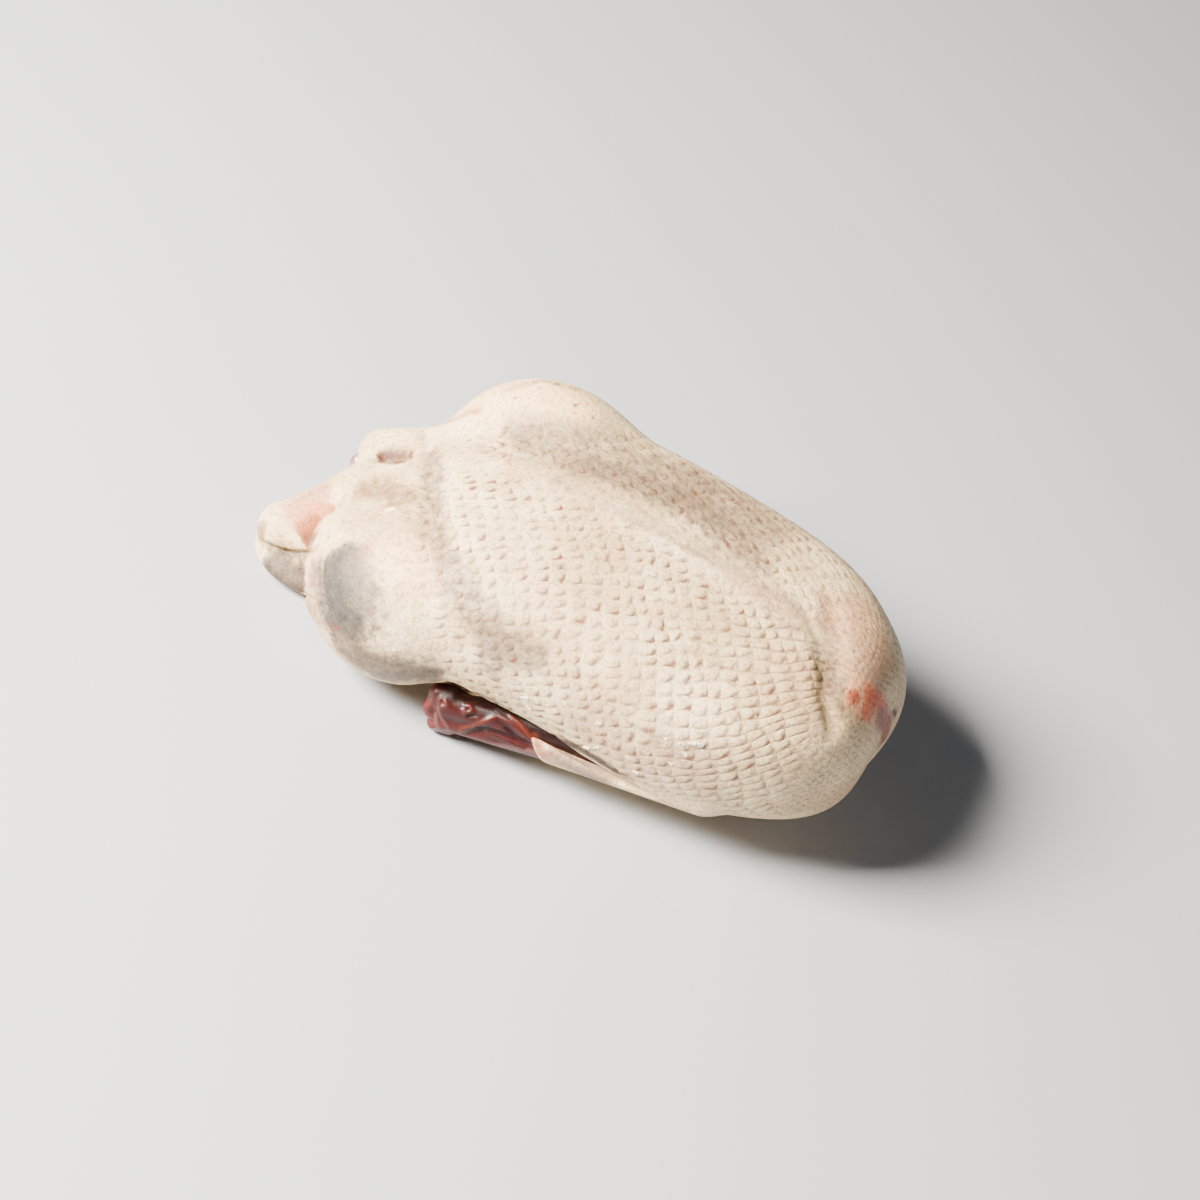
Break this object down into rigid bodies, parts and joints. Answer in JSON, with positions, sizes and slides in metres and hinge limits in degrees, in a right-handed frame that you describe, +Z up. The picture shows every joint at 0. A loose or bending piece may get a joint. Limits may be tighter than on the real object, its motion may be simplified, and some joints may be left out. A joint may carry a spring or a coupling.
{
  "type": "whole raw duck",
  "caption": "Whole raw oven-ready duck lying on its back, skin on, with folded legs, tail stump and upper wings cut at the elbow.",
  "frame": {"origin": "middle of the footprint, on the surface that the bird's back lies on", "axes": "+X along the body towards the neck, +Y towards the bird's own right side, +Z up through the breast"},
  "size_m": [0.315, 0.177, 0.1147],
  "materials": {
    "skin": "moist cream skin with a diamond grain of feather pits, satin",
    "flesh": "wet dark red raw muscle",
    "cartilage": "wet pearly white joint cartilage with pink marrow",
    "bone": "wet pinkish purple bone end"
  },
  "bodies": {
    "root": {"carcass": "skin", "wing_flesh_near": "flesh", "wing_flesh_far": "flesh", "wing_knuckle_near": "cartilage", "wing_knuckle_far": "cartilage", "shin_bone_far": "bone"}
  },
  "joints": []
}
